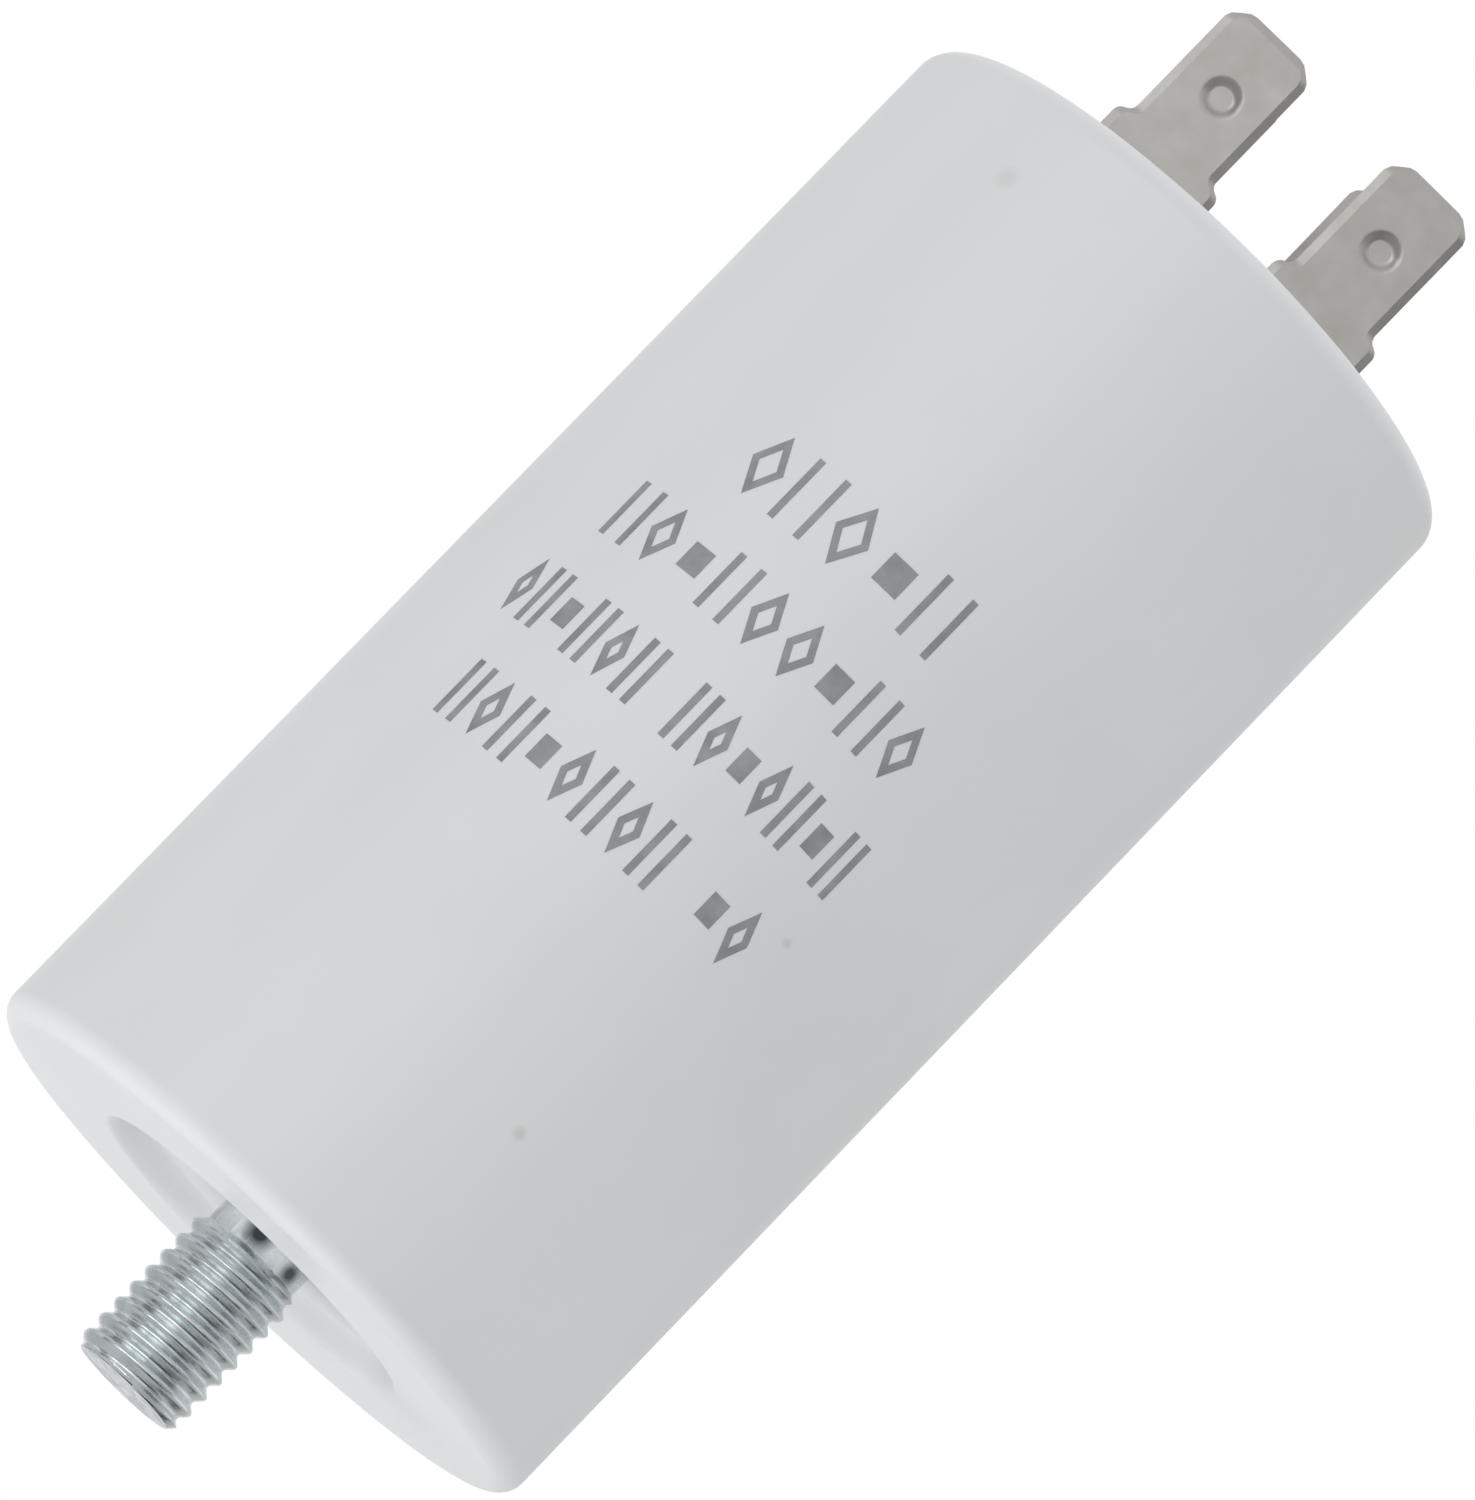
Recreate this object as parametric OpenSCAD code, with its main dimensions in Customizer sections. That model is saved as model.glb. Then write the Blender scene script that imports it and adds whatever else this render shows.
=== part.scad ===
// Motor run capacitor: a moulded plastic can with a fixing stud in its base, a film roll
// potted inside it, and two riveted twin-blade push-on terminals on its lid.
//
// Millimetres. +Z runs up the axis towards the terminals. The origin is the centre of the
// ring that seats on the mounting panel, so the stud hangs below z = 0.
// The front of the terminals faces -Y, and the two terminals stand side by side along X.

/* [Can] */
// Outside diameter of the can
case_d = 40; // [38:1:50]
// Height from the seating ring to the rim
case_h = 78; // [74:1:120]
// Thickness of the side wall
wall = 1.8; // [1.6:0.1:2]
// Rounding of the edge round the base
base_edge_r = 1.4; // [0.6:0.1:1.6]
// Rounding of the rim
rim_edge_r = 1.5; // [0.6:0.1:1.6]
// Thickness of the base at the seating ring
floor_t = 3.2; // [2.6:0.1:3.2]
// Diameter of the recess round the stud
recess_d = 21.6; // [18:0.2:26]
// Depth of that recess
recess_depth = 1.7; // [0.8:0.1:1.8]
// Number of ribs inside the can that centre the roll and carry the lid
rib_count = 6; // [4:2:8]

/* [Stud] */
// Major diameter of the thread
stud_d = 7.8; // [7.6:0.1:8]
// Length of the stud below the seating ring
stud_len = 10.4; // [8:0.2:16]
// Length of the chamfer at the stud's end
stud_chamfer = 0.5; // [0.4:0.1:1.2]
// Diameter of the plain neck between the head and the thread
neck_d = 6.5; // [6.2:0.1:6.6]
// Width across the flats of the head, which is moulded into the base
head_af = 13; // [12:0.5:13]
// Thickness of that head
head_t = 5.3; // [4:0.1:5.5]

/* [Lid] */
// Thickness of the lid
lid_t = 2.4; // [2:0.1:3]
// How far the lid's face lies below the rim
lid_sink = 0.5; // [0.2:0.1:1]

/* [Terminals] */
// Distance between the two terminals' centres
terminal_pitch = 12.5; // [12:0.1:13.4]
// Width of a push-on blade
blade_w = 6.3; // [6.2:0.1:6.4]
// Thickness of the terminal's sheet
sheet_t = 0.8; // [0.7:0.1:0.9]
// Height of the blade tips above the rim
tip_h = 13.25; // [11:0.25:16]
// Height above the rim at which the terminal starts to narrow to its blade
shoulder_h = 3.6; // [3:0.1:5]
// Width of the terminal below its shoulders
foot_w = 8; // [7.4:0.1:8.2]
// Clear distance between the two blades of a terminal, at their roots
blade_gap = 8; // [7:0.2:9]
// How far each blade leans outwards
splay = 4; // [0:0.5:6]
// Height of the detent dimple's centre above the rim
dimple_h = 8.45; // [7:0.05:10]
// How far the right terminal has turned on its rivet
right_turn = 2.3; // [-3:0.1:3]

/* [Roll] */
// Diameter of the film roll with its wrap
roll_d = 32.4; // [30:0.1:32.4]
// Diameter of the mandrel that the film is wound on
mandrel_d = 9; // [7:0.5:12]
// Thickness of the sprayed metal on each end of the roll
spray_t = 0.7; // [0.4:0.1:1]
// Thickness of the wrap round the roll
wrap_t = 0.4; // [0.2:0.1:0.6]
// Diameter of the lead wires
lead_d = 0.8; // [0.6:0.1:0.8]

/* [Hidden] */
$fn = 96;
eps = 0.01;

case_r = case_d / 2;
bore_r = case_r - wall;
recess_r = recess_d / 2;
// Width and slope of the recess's lip, and the draft of its wall
recess_lip = 0.4;
recess_draft = 0.9;
stud_r = stud_d / 2;
neck_r = neck_d / 2;

// The boss in the can's base holds the stud's head, and the roll stands on it
under_head = 1.1;
over_head = 1.3;
head_z = recess_depth + under_head;
boss_top_z = head_z + head_t + over_head;
boss_r = 9.6;
boss_top_r = 9;

// Everything above the roll hangs from the lid
lid_top_z = case_h - lid_sink;
lid_z = lid_top_z - lid_t;
// Ribs inside the can reach in to just clear of the roll
rib_w = 1.6;
rib_tip_r = roll_d / 2 + 0.3;
rib_turn = 180 / rib_count;
// Low ribs on the lid keep each terminal's foot from turning far
guide_w = 0.7;
guide_len = 5.6;
guide_h = 0.8;
guide_gap = 0.3;

// Terminals: a strip with both ends bent up, riveted down through its middle
terminal_x = terminal_pitch / 2;
bend_in_r = 0.6;
bend_out_r = bend_in_r + sheet_t;
foot_z = lid_top_z;
bend_z = foot_z + bend_out_r;
bend_y = blade_gap / 2 - bend_in_r;
function up_blade(h) = (case_h + h - bend_z) / cos(splay);
blade_len = up_blade(tip_h);
shoulder_at = up_blade(shoulder_h);
dimple_at = up_blade(dimple_h);
// Tip corners, and the coined bevel round the blade's edges
tip_cut_w = 1.15;
tip_cut_h = 0.9;
bevel_w = 0.5;
bevel_t = 0.22;
// Each shoulder is two arcs of one radius, one outwards and one inwards, that meet smoothly
shoulder_r = 0.65;
shoulder_in = (foot_w - blade_w) / 2;
shoulder_rise = sqrt(4 * shoulder_r * shoulder_in - shoulder_in * shoulder_in);
shoulder_top = shoulder_at + shoulder_rise;
dimple_r = 1.25;
dimple_floor_r = 0.8;
dimple_depth = 0.4;
// The dimple pushes a low bump through to the inner face
bump_h = 0.2;
bump_r = 0.9;
bump_top_r = 0.5;

// Rivets, and the solder tags that they clamp under the lid
rivet_r = 1.6;
rivet_head_r = 2.8;
rivet_head_h = 1;
rivet_set_r = 2.5;
rivet_set_h = 0.8;
tag_t = 0.6;
tag_z = lid_z - tag_t;
tag_ring_r = 3.2;
tag_w = 3;
tag_reach = 7.2;

// The roll stands on an insulating disc on top of the boss
disc_t = 1.2;
roll_r = roll_d / 2;
roll_z = boss_top_z + disc_t;
lid_space = 5.7;
roll_top_z = lid_z - lid_space;
film_z = roll_z + spray_t;
film_top_z = roll_top_z - spray_t;
film_r = roll_r - wrap_t;
mandrel_r = mandrel_d / 2;
mandrel_wall = 0.9;
mandrel_bore_r = mandrel_r - mandrel_wall;
resin_over_roll = 2.6;
resin_top_z = roll_top_z + resin_over_roll;

// Leads: the long one climbs the gap between roll and can, the short one goes straight up.
// Each is soldered to an end of the roll and, over a thin bed of solder, to a tag.
lead_r = lead_d / 2;
lead_bend_r = 1;
lead_x = (roll_r + bore_r) / 2;
joint_x = 10.5;
joint_r = 2;
joint_foot_r = 1.4;
bottom_joint_h = 1.1;
top_joint_h = 1.3;
top_joint_r = 0.9;
lead_end_x = joint_x - 1.2;
lead_low_z = boss_top_z + disc_t / 2;
solder_bed = 0.1;
lead_high_z = tag_z - lead_r - solder_bed;
long_end_x = terminal_x + 4.6;
short_end_x = joint_x + 2.6;
tag_solder_x = terminal_x + 6.3;
tag_solder_h = 1.2;
tag_solder_r = 0.9;
tag_solder_foot_r = 0.7;
sleeve_r = 0.8;
sleeve_z = roll_z + 1.4;
sleeve_top_z = lead_high_z - lead_bend_r - 0.1;
slot_r = 2.3;
slot_w = 2.4;

// ---- Can --------------------------------------------------------------------------------

// Half section of the can's outside, with its rounded base and rim
module can_outline() {
    translate([0, base_edge_r]) square([case_r, case_h - base_edge_r - rim_edge_r]);
    square([case_r - base_edge_r, case_h / 2]);
    translate([0, case_h / 2]) square([case_r - rim_edge_r, case_h / 2]);
    translate([case_r - base_edge_r, base_edge_r]) circle(base_edge_r);
    translate([case_r - rim_edge_r, case_h - rim_edge_r]) circle(rim_edge_r);
}

// Half section of the boss that stands inside on the can's base
module boss_outline() {
    polygon([[0, recess_depth], [boss_r, recess_depth], [boss_r, floor_t],
             [boss_top_r, boss_top_z], [0, boss_top_z]]);
}

// Half section of the recess under the base, with its sloping lip
module recess_outline() {
    polygon([[0, -1], [recess_r + recess_lip, -1], [recess_r + recess_lip, 0], [recess_r, recess_lip],
             [recess_r - recess_draft, recess_depth], [0, recess_depth]]);
}

module can_ribs() {
    for (i = [0 : rib_count - 1])
        rotate(rib_turn + i * 360 / rib_count)
            translate([rib_tip_r, -rib_w / 2, floor_t])
                cube([bore_r + wall / 2 - rib_tip_r, rib_w, lid_z - floor_t]);
}

// The stud's own shape above the seating ring, which the base is moulded round
module stud_head() {
    cylinder(h = head_z + eps, r = neck_r);
    translate([0, 0, head_z]) cylinder(h = head_t, d = head_af / cos(30), $fn = 6);
}

module case() {
    color([0.83, 0.84, 0.85])
    difference() {
        union() {
            rotate_extrude() difference() {
                union() {
                    difference() {
                        can_outline();
                        translate([0, floor_t]) square([bore_r, case_h]);
                    }
                    boss_outline();
                }
                recess_outline();
            }
            can_ribs();
        }
        stud_head();
    }
}

// ---- Stud -------------------------------------------------------------------------------

module stud() {
    color([0.72, 0.74, 0.76])
    union() {
        stud_head();
        translate([0, 0, stud_chamfer - stud_len]) cylinder(h = stud_len - stud_chamfer, r = stud_r);
        translate([0, 0, -stud_len])
            cylinder(h = stud_chamfer, r1 = stud_r - stud_chamfer, r2 = stud_r);
    }
}

// ---- Lid --------------------------------------------------------------------------------

module terminal_guides() {
    for (side = [-1, 1])
        translate([side * (foot_w / 2 + guide_gap + guide_w / 2), 0, lid_top_z + guide_h / 2])
            cube([guide_w, guide_len, guide_h], center = true);
}

module lid() {
    edge = 0.4;
    color([0.86, 0.86, 0.85])
    difference() {
        union() {
            translate([0, 0, lid_z]) cylinder(h = lid_t - edge, r = bore_r);
            translate([0, 0, lid_top_z - edge]) cylinder(h = edge, r1 = bore_r, r2 = bore_r - edge);
            for (side = [-1, 1]) translate([side * terminal_x, 0, 0]) terminal_guides();
        }
        for (side = [-1, 1])
            translate([side * terminal_x, 0, lid_z - 1]) cylinder(h = lid_t + 3, r = rivet_r);
    }
}

// ---- Terminals --------------------------------------------------------------------------

// Outline of one upright blade: wide below its shoulders, narrow above, with cut tip corners
module blade_outline() {
    half = blade_w / 2;
    arc_out = foot_w / 2 - shoulder_r;
    arc_in = half + shoulder_r;
    polygon([[-half, 0], [half, 0], [half, blade_len - tip_cut_h], [half - tip_cut_w, blade_len],
             [tip_cut_w - half, blade_len], [-half, blade_len - tip_cut_h]]);
    translate([-foot_w / 2, 0]) square([foot_w, shoulder_at]);
    for (side = [-1, 1]) translate([side * arc_out, shoulder_at]) circle(shoulder_r);
    difference() {
        polygon([[-arc_out, shoulder_at], [arc_out, shoulder_at],
                 [arc_in, shoulder_top], [-arc_in, shoulder_top]]);
        for (side = [-1, 1]) translate([side * arc_in, shoulder_top]) circle(shoulder_r);
    }
}

// Solid that trims a blade's edges and tip to their coined bevels; y runs through the sheet
module blade_bevels() {
    half = blade_w / 2;
    beyond = foot_w;
    // across the blade, above the shoulders
    translate([0, 0, shoulder_top])
        linear_extrude(height = blade_len)
            polygon([[-half, bevel_t], [bevel_w - half, 0], [half - bevel_w, 0], [half, bevel_t],
                     [half, sheet_t - bevel_t], [half - bevel_w, sheet_t],
                     [bevel_w - half, sheet_t], [-half, sheet_t - bevel_t]]);
    // full width below
    translate([-beyond, 0, -1]) cube([2 * beyond, sheet_t, shoulder_top + 1]);
}

// Trims the blade's tip, seen from its side
module tip_bevel() {
    translate([-foot_w, 0, 0]) rotate([90, 0, 90]) linear_extrude(height = 2 * foot_w)
        polygon([[0, -1], [sheet_t, -1], [sheet_t, blade_len - bevel_w], [sheet_t - bevel_t, blade_len],
                 [bevel_t, blade_len], [0, blade_len - bevel_w]]);
}

// One blade standing on z = 0, with its outer face at y = sheet_t
module blade() {
    difference() {
        union() {
            intersection() {
                translate([0, sheet_t, 0]) rotate([90, 0, 0])
                    linear_extrude(height = sheet_t) blade_outline();
                blade_bevels();
                tip_bevel();
            }
            translate([0, bump_h, dimple_at]) rotate([90, 0, 0])
                cylinder(h = 2 * bump_h, r1 = bump_r, r2 = bump_top_r);
        }
        translate([0, sheet_t - dimple_depth, dimple_at]) rotate([-90, 0, 0])
            cylinder(h = 2 * dimple_depth, r1 = dimple_floor_r, r2 = 2 * dimple_r - dimple_floor_r);
    }
}

// A blade with the quarter bend at its root, for the strip's end at +Y
module bent_end() {
    translate([0, bend_y, bend_z]) {
        rotate([-splay, 0, 0]) translate([0, bend_in_r, 0]) blade();
        rotate([90, 0, 90]) translate([0, 0, -foot_w / 2]) rotate([0, 0, -90])
            rotate_extrude(angle = 90 - splay) translate([bend_in_r, 0]) square([sheet_t, foot_w]);
    }
}

module terminal() {
    color([0.69, 0.68, 0.66])
    difference() {
        union() {
            translate([-foot_w / 2, -bend_y, foot_z]) cube([foot_w, 2 * bend_y, sheet_t]);
            bent_end();
            mirror([0, 1, 0]) bent_end();
        }
        translate([0, 0, foot_z - 1]) cylinder(h = sheet_t + 2, r = rivet_r);
    }
}

module terminal_left() {
    translate([-terminal_x, 0, 0]) terminal();
}

module terminal_right() {
    translate([terminal_x, 0, 0]) rotate(right_turn) terminal();
}

// ---- Rivets and solder tags -------------------------------------------------------------

// A round-headed rivet: head on the terminal, shank through lid and tag, end set below
module rivet() {
    head_z = foot_z + sheet_t;
    dome_r = (rivet_head_r * rivet_head_r + rivet_head_h * rivet_head_h) / (2 * rivet_head_h);
    color([0.74, 0.73, 0.7])
    rotate_extrude() {
        translate([0, tag_z - rivet_set_h]) square([rivet_r, head_z - tag_z + rivet_set_h]);
        polygon([[0, tag_z - rivet_set_h], [rivet_r, tag_z - rivet_set_h],
                 [rivet_set_r, tag_z - rivet_set_h / 2], [rivet_set_r, tag_z], [0, tag_z]]);
        intersection() {
            translate([0, head_z]) square([rivet_head_r, rivet_head_h]);
            translate([0, head_z + rivet_head_h - dome_r]) circle(dome_r);
        }
    }
}

module rivet_left() {
    translate([-terminal_x, 0, 0]) rivet();
}

module rivet_right() {
    translate([terminal_x, 0, 0]) rivet();
}

// A ring with a tongue that points out towards the can's wall
module solder_tag() {
    color([0.8, 0.78, 0.7])
    translate([0, 0, tag_z])
        linear_extrude(height = tag_t)
            difference() {
                union() {
                    circle(tag_ring_r);
                    translate([0, -tag_w / 2]) square([tag_reach - tag_w / 2, tag_w]);
                    translate([tag_reach - tag_w / 2, 0]) circle(tag_w / 2);
                }
                circle(rivet_r);
            }
}

module solder_tag_left() {
    translate([-terminal_x, 0, 0]) rotate(180) solder_tag();
}

module solder_tag_right() {
    translate([terminal_x, 0, 0]) solder_tag();
}

// ---- Leads and solder -------------------------------------------------------------------

// A quarter turn of wire in the XZ plane, centred on the origin, from -Z round to +X
module lead_bend() {
    rotate([90, 0, 0]) rotate([0, 0, -90])
        rotate_extrude(angle = 90) translate([lead_bend_r, 0]) circle(lead_r);
}

module lead_run(from_x, to_x, z) {
    translate([from_x, 0, z]) rotate([0, 90, 0]) cylinder(h = to_x - from_x, r = lead_r);
}

module long_lead_shape() {
    bend_x = lead_x - lead_bend_r;
    lead_run(lead_end_x, bend_x, lead_low_z);
    translate([bend_x, 0, lead_low_z + lead_bend_r]) lead_bend();
    translate([lead_x, 0, lead_low_z + lead_bend_r])
        cylinder(h = lead_high_z - lead_low_z - 2 * lead_bend_r, r = lead_r);
    translate([bend_x, 0, lead_high_z - lead_bend_r]) mirror([0, 0, 1]) lead_bend();
    lead_run(long_end_x, bend_x, lead_high_z);
}

module short_lead_shape() {
    translate([joint_x, 0, roll_top_z])
        cylinder(h = lead_high_z - lead_bend_r - roll_top_z, r = lead_r);
    translate([joint_x + lead_bend_r, 0, lead_high_z - lead_bend_r])
        mirror([1, 0, 0]) mirror([0, 0, 1]) lead_bend();
    lead_run(joint_x + lead_bend_r, short_end_x, lead_high_z);
}

module lead_long() {
    color([0.8, 0.78, 0.72]) mirror([1, 0, 0]) long_lead_shape();
}

module lead_short() {
    color([0.8, 0.78, 0.72]) short_lead_shape();
}

module lead_sleeve() {
    color([0.75, 0.2, 0.15])
    translate([-lead_x, 0, sleeve_z])
        difference() {
            cylinder(h = sleeve_top_z - sleeve_z, r = sleeve_r);
            translate([0, 0, -1]) cylinder(h = sleeve_top_z - sleeve_z + 2, r = lead_r);
        }
}

// Solder under the roll, filling its hole in the disc round the long lead's end
module bottom_joint_shape() {
    translate([-joint_x, 0, roll_z - bottom_joint_h])
        cylinder(h = bottom_joint_h, r1 = joint_foot_r, r2 = joint_r);
}

module top_joint_shape() {
    translate([joint_x, 0, roll_top_z]) cylinder(h = top_joint_h, r1 = joint_r, r2 = top_joint_r);
}

module solder_joint_bottom() {
    color([0.7, 0.71, 0.73])
    difference() {
        bottom_joint_shape();
        mirror([1, 0, 0]) lead_run(lead_end_x, lead_x, lead_low_z);
    }
}

module solder_joint_top() {
    color([0.7, 0.71, 0.73])
    difference() {
        top_joint_shape();
        translate([joint_x, 0, roll_top_z - 1]) cylinder(h = top_joint_h + 2, r = lead_r);
    }
}

// Solder that runs under a tag's tongue and round the lead
module tag_solder() {
    difference() {
        translate([tag_solder_x, 0, tag_z - tag_solder_h])
            cylinder(h = tag_solder_h, r1 = tag_solder_foot_r, r2 = tag_solder_r);
        lead_run(tag_solder_x - 2, tag_solder_x + 2, lead_high_z);
    }
}

module tag_solder_left() {
    color([0.7, 0.71, 0.73]) mirror([1, 0, 0]) tag_solder();
}

module tag_solder_right() {
    color([0.7, 0.71, 0.73]) tag_solder();
}

// ---- Roll -------------------------------------------------------------------------------

module ring(z, top_z, outer_r, inner_r) {
    translate([0, 0, z])
        difference() {
            cylinder(h = top_z - z, r = outer_r);
            translate([0, 0, -1]) cylinder(h = top_z - z + 2, r = inner_r);
        }
}

module winding_mandrel() {
    color([0.35, 0.42, 0.5]) ring(roll_z, roll_top_z, mandrel_r, mandrel_bore_r);
}

module film_winding() {
    color([0.78, 0.79, 0.8]) ring(film_z, film_top_z, film_r, mandrel_r);
}

module roll_wrap() {
    color([0.93, 0.86, 0.6]) ring(roll_z, roll_top_z, roll_r, film_r);
}

module end_spray_bottom() {
    color([0.55, 0.56, 0.58]) ring(roll_z, film_z, film_r, mandrel_r);
}

module end_spray_top() {
    color([0.55, 0.56, 0.58]) ring(film_top_z, roll_top_z, film_r, mandrel_r);
}

// The disc under the roll, slotted for the long lead and its joint
module base_disc() {
    color([0.6, 0.62, 0.6])
    translate([0, 0, boss_top_z])
        linear_extrude(height = disc_t)
            difference() {
                circle(roll_r);
                circle(mandrel_bore_r);
                translate([-joint_x, 0]) circle(slot_r);
                translate([-roll_r - 1, -slot_w / 2]) square([roll_r + 1 - joint_x, slot_w]);
            }
}

// Resin poured round the roll: it fills the can from its base to just over the roll,
// and leaves out everything that stands in it
module potting_resin() {
    color([0.3, 0.3, 0.28])
    difference() {
        translate([0, 0, floor_t]) cylinder(h = resin_top_z - floor_t, r = bore_r);
        rotate_extrude() boss_outline();
        can_ribs();
        base_disc();
        ring(roll_z, roll_top_z, roll_r, mandrel_bore_r);
        bottom_joint_shape();
        top_joint_shape();
        lead_long();
        translate([-lead_x, 0, sleeve_z]) cylinder(h = sleeve_top_z - sleeve_z, r = sleeve_r);
        lead_short();
    }
}

case();
stud();
lid();
terminal_left();
terminal_right();
rivet_left();
rivet_right();
solder_tag_left();
solder_tag_right();
tag_solder_left();
tag_solder_right();
lead_long();
lead_sleeve();
lead_short();
solder_joint_bottom();
solder_joint_top();
winding_mandrel();
film_winding();
roll_wrap();
end_spray_bottom();
end_spray_top();
base_disc();
potting_resin();
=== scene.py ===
"""A motor run capacitor: white moulded can, zinc-plated fixing stud, two twin-blade terminals.

Metres, +Z up the can's axis, with the stud below z = 0 and the terminals' front facing -Y.
The sections follow the part as it is put together, from the can outwards.
"""

import math

import bmesh
import bpy
from mathutils import Matrix, Vector


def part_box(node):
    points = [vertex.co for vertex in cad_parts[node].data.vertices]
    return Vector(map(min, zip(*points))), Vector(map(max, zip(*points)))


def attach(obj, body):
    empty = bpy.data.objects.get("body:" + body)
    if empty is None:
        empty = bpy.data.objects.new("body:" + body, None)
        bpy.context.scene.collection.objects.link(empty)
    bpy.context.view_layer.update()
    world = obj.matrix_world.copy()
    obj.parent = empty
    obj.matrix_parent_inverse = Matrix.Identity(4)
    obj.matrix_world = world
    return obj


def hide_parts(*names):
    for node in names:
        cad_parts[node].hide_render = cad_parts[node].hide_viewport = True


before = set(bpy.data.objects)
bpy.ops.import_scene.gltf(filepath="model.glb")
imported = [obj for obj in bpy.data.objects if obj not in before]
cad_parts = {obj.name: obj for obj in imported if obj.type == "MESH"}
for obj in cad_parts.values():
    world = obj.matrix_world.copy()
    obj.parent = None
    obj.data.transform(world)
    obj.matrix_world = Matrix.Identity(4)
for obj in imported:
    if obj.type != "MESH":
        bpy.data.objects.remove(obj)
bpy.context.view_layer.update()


# ---- Camera -----------------------------------------------------------------------------
# A long lens stands in front of the can, a little lower than its base, and is rolled so
# that the can leans over to the right.

can_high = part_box("case")[1]
can_r = can_high.x
can_h = can_high.z
camera_rise = math.radians(9.87)
camera_roll = math.radians(44.09)
camera_distance = 39.91 * can_r
camera_aim = Vector((-0.0077 * can_r, 0, 0.5177 * can_h))

camera = bpy.data.objects.new("camera", bpy.data.cameras.new("camera"))
camera.data.sensor_width = 36
camera.data.lens = 335.1
line_of_sight = Vector((0, math.cos(camera_rise), math.sin(camera_rise)))
camera.matrix_world = (
    Matrix.Translation(camera_aim - camera_distance * line_of_sight)
    @ Matrix.Rotation(math.pi / 2 + camera_rise, 4, "X")
    @ Matrix.Rotation(camera_roll, 4, "Z")
)
bpy.context.scene.collection.objects.link(camera)
bpy.context.scene.camera = camera


# ---- Can --------------------------------------------------------------------------------
# One deep moulding in white, flame-resistant polypropylene, with a satin skin. Its base
# holds the stud's head in a boss, and six ribs inside carry the lid.

wall = 0.0018
floor_top = 0.0032
rim_round = 0.0015
base_round = 0.0014
recess_depth = 0.0017
recess_mouth_r = 0.0114
recess_floor_r = 0.0096
recess_steps = 12
neck_r = 0.00325
head_across_flats = 0.013
head_low = 0.0028
head_high = 0.0081
boss_r = 0.0096
boss_top_r = 0.009
boss_top = 0.0094
rib_tip_r = 0.0165
rib_half_angle = math.radians(2.6)
rib_first = math.radians(30)
rib_spacing = math.radians(60)
bore_r = can_r - wall
bore_round = 0.00012
can_steps = 144
lid_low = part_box("lid")[0]
tolerance = 5e-6  # measures this close are the same


def radius(vert):
    return math.hypot(vert.co.x, vert.co.y)


def set_radius(vert, wanted):
    scale = wanted / radius(vert)
    vert.co.x *= scale
    vert.co.y *= scale


def spin_outline(bm, outline, steps):
    """Turns a chain of (radius, height) points round the Z axis into a closed skin."""
    points = [bm.verts.new((r, 0, z)) for r, z in outline]
    chain = [bm.edges.new(pair) for pair in zip(points, points[1:])]
    bmesh.ops.spin(
        bm, geom=points + chain, cent=(0, 0, 0), axis=(0, 0, 1),
        angle=2 * math.pi, steps=steps, use_merge=True,
    )
    bmesh.ops.remove_doubles(bm, verts=bm.verts, dist=tolerance)


def on_ring(vert, r, z):
    return abs(radius(vert) - r) < tolerance and abs(vert.co.z - z) < tolerance


def round_ring(bm, r, z, size, segments):
    """Rounds the sharp circle of radius r at height z."""
    ring = [edge for edge in bm.edges if all(on_ring(vert, r, z) for vert in edge.verts)]
    bmesh.ops.bevel(
        bm, geom=ring, offset=size, offset_type="OFFSET", segments=segments,
        profile=0.5, affect="EDGES", material=-1, clamp_overlap=False,
    )


def hexagon_radius(vert):
    """Distance from the axis to the side of the stud's head, in the direction of a vertex."""
    turn = math.atan2(vert.co.y, vert.co.x) % math.radians(60)
    return head_across_flats / 2 / math.cos(turn - math.radians(30))


def piece_from(bm, name, crease=math.radians(35)):
    """Makes an object from a finished mesh, with smooth faces and hard edges."""
    bmesh.ops.recalc_face_normals(bm, faces=bm.faces)
    for face in bm.faces:
        face.smooth = True
    mesh = bpy.data.meshes.new(name)
    bm.to_mesh(mesh)
    bm.free()
    mesh.set_sharp_from_angle(angle=crease)
    piece = bpy.data.objects.new(name, mesh)
    bpy.context.scene.collection.objects.link(piece)
    weighted = piece.modifiers.new("weighted normals", "WEIGHTED_NORMAL")
    weighted.keep_sharp = True
    return piece


def whole(faces):
    """Faces with their edges and corners, so that an extrusion takes them along entirely."""
    edges = dict.fromkeys(edge for face in faces for edge in face.edges)
    corners = dict.fromkeys(vert for face in faces for vert in face.verts)
    return [*faces, *edges, *corners]


def of_kind(kind, geometry):
    """The verts, edges or faces among what an operator returns."""
    return [item for item in geometry if isinstance(item, kind)]


def recess_wall():
    """The soft wall of the recess, from its floor out to its mouth."""
    outline = []
    for step in range(recess_steps + 1):
        along = step / recess_steps
        depth = recess_depth * (0.5 + 0.5 * math.cos(math.pi * along))
        outline.append((recess_floor_r + (recess_mouth_r - recess_floor_r) * along, depth))
    return outline


def in_rib(centre):
    """Says whether a point's direction from the axis is that of one of the six ribs."""
    turn = (math.atan2(centre.y, centre.x) - rib_first) % rib_spacing
    return min(turn, rib_spacing - turn) < rib_half_angle


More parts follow.
